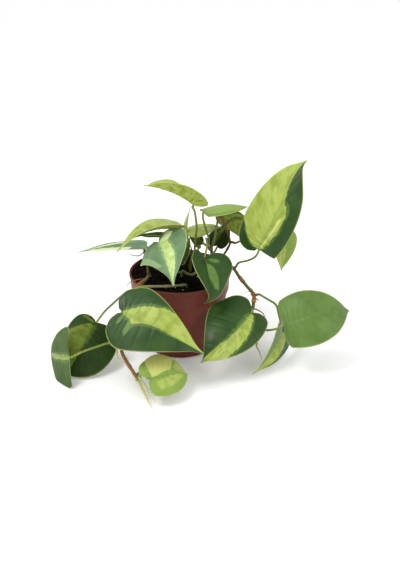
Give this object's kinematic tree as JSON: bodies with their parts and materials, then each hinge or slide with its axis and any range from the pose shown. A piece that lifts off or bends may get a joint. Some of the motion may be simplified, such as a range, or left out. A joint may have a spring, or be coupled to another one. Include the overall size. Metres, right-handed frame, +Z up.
{
  "type": "potted philodendron",
  "caption": "Trailing heart-leaf houseplant with lime-streaked leaves, standing in a thin tapered nursery pot filled with soil.",
  "frame": {"origin": "centre of the pot's foot, on the surface it stands on", "axes": "+Z up out of the pot; +X towards the right-hand leaves, along the plant's widest reach; -Y towards the front, where the vines trail over the rim"},
  "size_m": [0.3429, 0.2016, 0.2295],
  "materials": {
    "pot_plastic": "terracotta-coloured moulded plastic, satin",
    "soil_peat": null,
    "vine_skin": null,
    "stalk_skin": null,
    "blade_skin": null,
    "sheath_skin": null
  },
  "bodies": {
    "root": {"pot": "pot_plastic", "soil": "soil_peat", "vine_front_left": "vine_skin", "vine_over_soil": "vine_skin", "vine_right": "vine_skin", "vine_centre_left": "vine_skin", "vine_centre_right": "vine_skin", "vine_back_left": "vine_skin", "vine_loop": "vine_skin", "vine_back_right": "vine_skin", "leaf_crown_left": "blade_skin", "stalk_crown_left": "stalk_skin", "leaf_upper_left": "blade_skin", "stalk_upper_left": "stalk_skin", "leaf_far_left_upper": "blade_skin", "stalk_far_left_upper": "stalk_skin", "leaf_under_left": "blade_skin", "stalk_under_left": "stalk_skin", "leaf_centre_drooping": "blade_skin", "stalk_centre_drooping": "stalk_skin", "leaf_centre_narrow": "blade_skin", "stalk_centre_narrow": "stalk_skin", "leaf_rim_front": "blade_skin", "stalk_rim_front": "stalk_skin", "leaf_front_left": "blade_skin", "stalk_front_left": "stalk_skin", "leaf_floor_small": "blade_skin", "stalk_floor_small": "stalk_skin", "leaf_left_back": "blade_skin", "stalk_left_back": "stalk_skin", "leaf_left_tip": "blade_skin", "stalk_left_tip": "stalk_skin", "leaf_front_right": "blade_skin", "stalk_front_right": "stalk_skin", "leaf_right": "blade_skin", "stalk_right": "stalk_skin", "leaf_right_hanging": "blade_skin", "stalk_right_hanging": "stalk_skin", "leaf_top_right": "blade_skin", "stalk_top_right": "stalk_skin", "leaf_behind_top_right": "blade_skin", "stalk_behind_top_right": "stalk_skin", "leaf_crown_back": "blade_skin", "stalk_crown_back": "stalk_skin", "leaf_crown_under": "blade_skin", "stalk_crown_under": "stalk_skin", "leaf_centre_pale": "blade_skin", "stalk_centre_pale": "stalk_skin", "leaf_centre_low": "blade_skin", "stalk_centre_low": "stalk_skin", "leaf_centre_striped": "blade_skin", "stalk_centre_striped": "stalk_skin", "shoot_rolled_leaf": "sheath_skin", "shoot_back_left": "sheath_skin", "shoot_trailing": "sheath_skin", "sheath_trailing": "sheath_skin", "sheath_front_left": "sheath_skin", "sheath_right_front": "sheath_skin", "root_right": "sheath_skin"}
  },
  "joints": []
}
